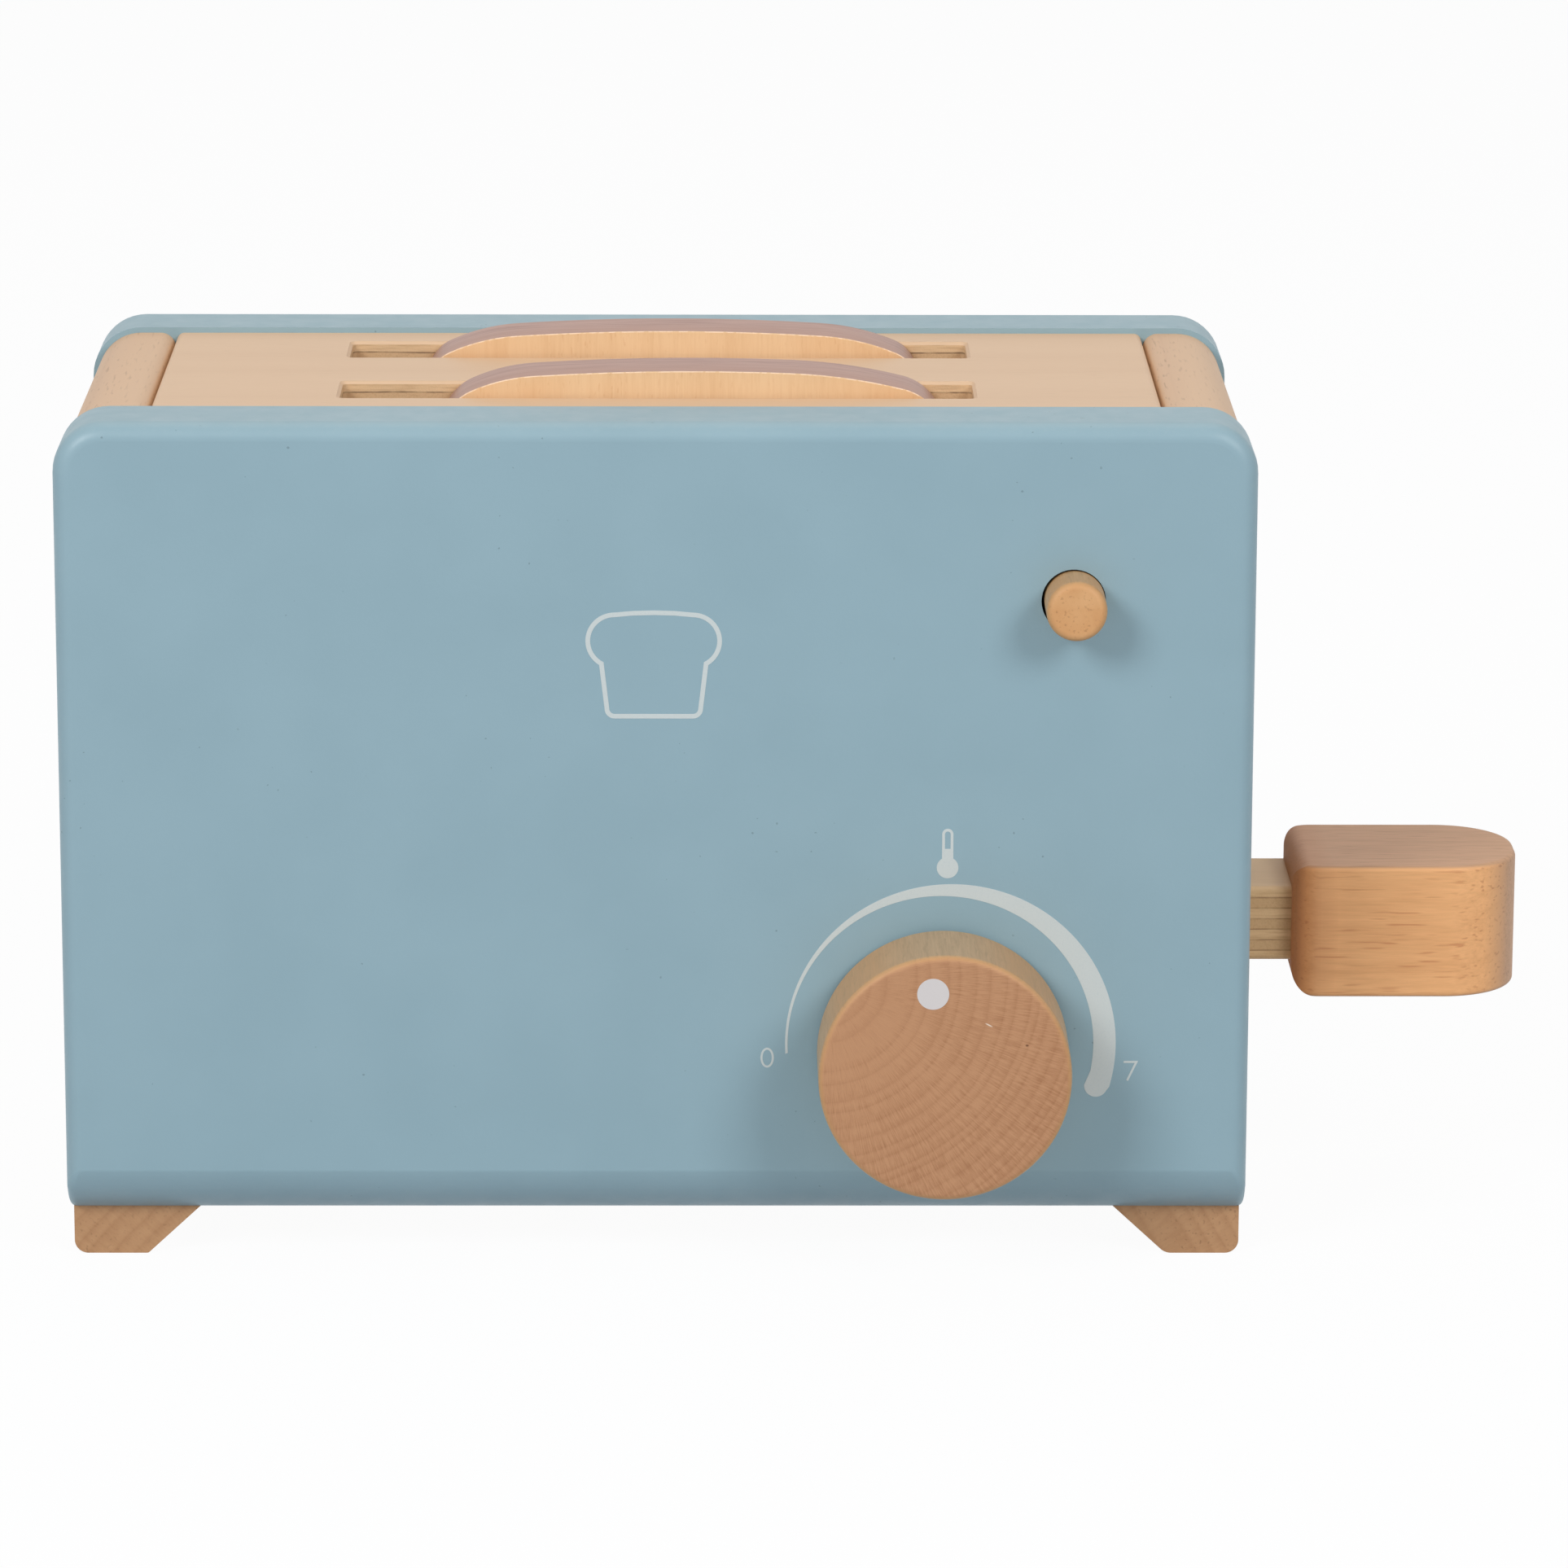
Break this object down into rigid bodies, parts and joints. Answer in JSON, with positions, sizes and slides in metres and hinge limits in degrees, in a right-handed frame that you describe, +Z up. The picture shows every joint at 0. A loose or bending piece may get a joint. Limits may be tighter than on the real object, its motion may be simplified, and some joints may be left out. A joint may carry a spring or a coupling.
{
  "type": "toy toaster",
  "caption": "Wooden toy toaster with a sprung bread carriage, side lever, push-button release, turning dial and lift-out slices of toast.",
  "frame": {"origin": "on the surface it stands on, under the centre of the whole toaster's box, lever handle and dial included", "axes": "+X to the toaster's right, where the lever is; +Y from the dial's side to the back; +Z up"},
  "size_m": [0.237, 0.1162, 0.1413],
  "materials": {
    "blue_paint": "satin grey-blue paint on board",
    "beech": "sanded beech, clear matt varnish",
    "plywood": "sanded birch plywood, clear matt varnish",
    "toast_wood": "plywood slice with a painted brown crust",
    "steel": "bright zinc-plated steel",
    "nickel": "nickel-plated magnet",
    "felt": "pressed felt"
  },
  "bodies": {
    "casing": {"front_plate": "blue_paint", "rear_plate": "blue_paint", "left_side_block": "beech", "right_side_block": "beech", "top_board": "plywood", "base_board": "plywood", "left_foot": "beech", "right_foot": "beech", "left_guide_rod": "steel", "right_guide_rod": "steel", "left_lift_spring": "steel", "right_lift_spring": "steel", "panel_dowels": "beech", "foot_screws": "steel", "latch_bracket": "beech", "latch_pivot_pin": "steel", "latch_return_spring": "steel"},
    "carriage": {"carriage_board": "plywood", "lever_handle": "beech", "handle_pin": "beech", "strike_plate": "steel", "strike_screw": "steel"},
    "front_slice": {"toast_front": "toast_wood"},
    "rear_slice": {"toast_rear": "toast_wood"},
    "button": {"button_plunger": "beech", "button_collar": "beech"},
    "latch": {"latch_lever": "plywood", "latch_magnet": "nickel"},
    "dial": {"dial_knob": "beech", "dial_shaft": "beech", "dial_washer": "felt", "dial_collar": "beech"}
  },
  "joints": [
    {"name": "carriage_slide", "type": "slide", "parent": "casing", "child": "carriage", "axis": [0, 0, 1], "range_m": [0, 0.034], "deforming": ["left_lift_spring", "right_lift_spring"]},
    {"name": "front_slice_lift", "type": "slide", "parent": "carriage", "child": "front_slice", "axis": [0, 0, 1], "range_m": [0, 0.09]},
    {"name": "rear_slice_lift", "type": "slide", "parent": "carriage", "child": "rear_slice", "axis": [0, 0, 1], "range_m": [0, 0.09]},
    {"name": "button_push", "type": "slide", "parent": "casing", "child": "button", "axis": [0, 1, 0], "range_m": [0, 0.005], "stiffness_N_per_m": 200, "springref_m": -0.002},
    {"name": "latch_rock", "type": "hinge", "parent": "casing", "child": "latch", "pos_m": [0.04255, -0.0144, 0.0765], "axis": [-1, 0, 0], "range_deg": [0, 8.7], "deforming": ["latch_return_spring"]},
    {"name": "dial_turn", "type": "hinge", "parent": "casing", "child": "dial", "pos_m": [0.02235, -0.0409, 0.0361], "axis": [0, 1, 0], "continuous": true}
  ],
  "couplings": [
    {"joint": "latch_rock", "follows": "button_push", "rad_per_m": 30.12}
  ]
}
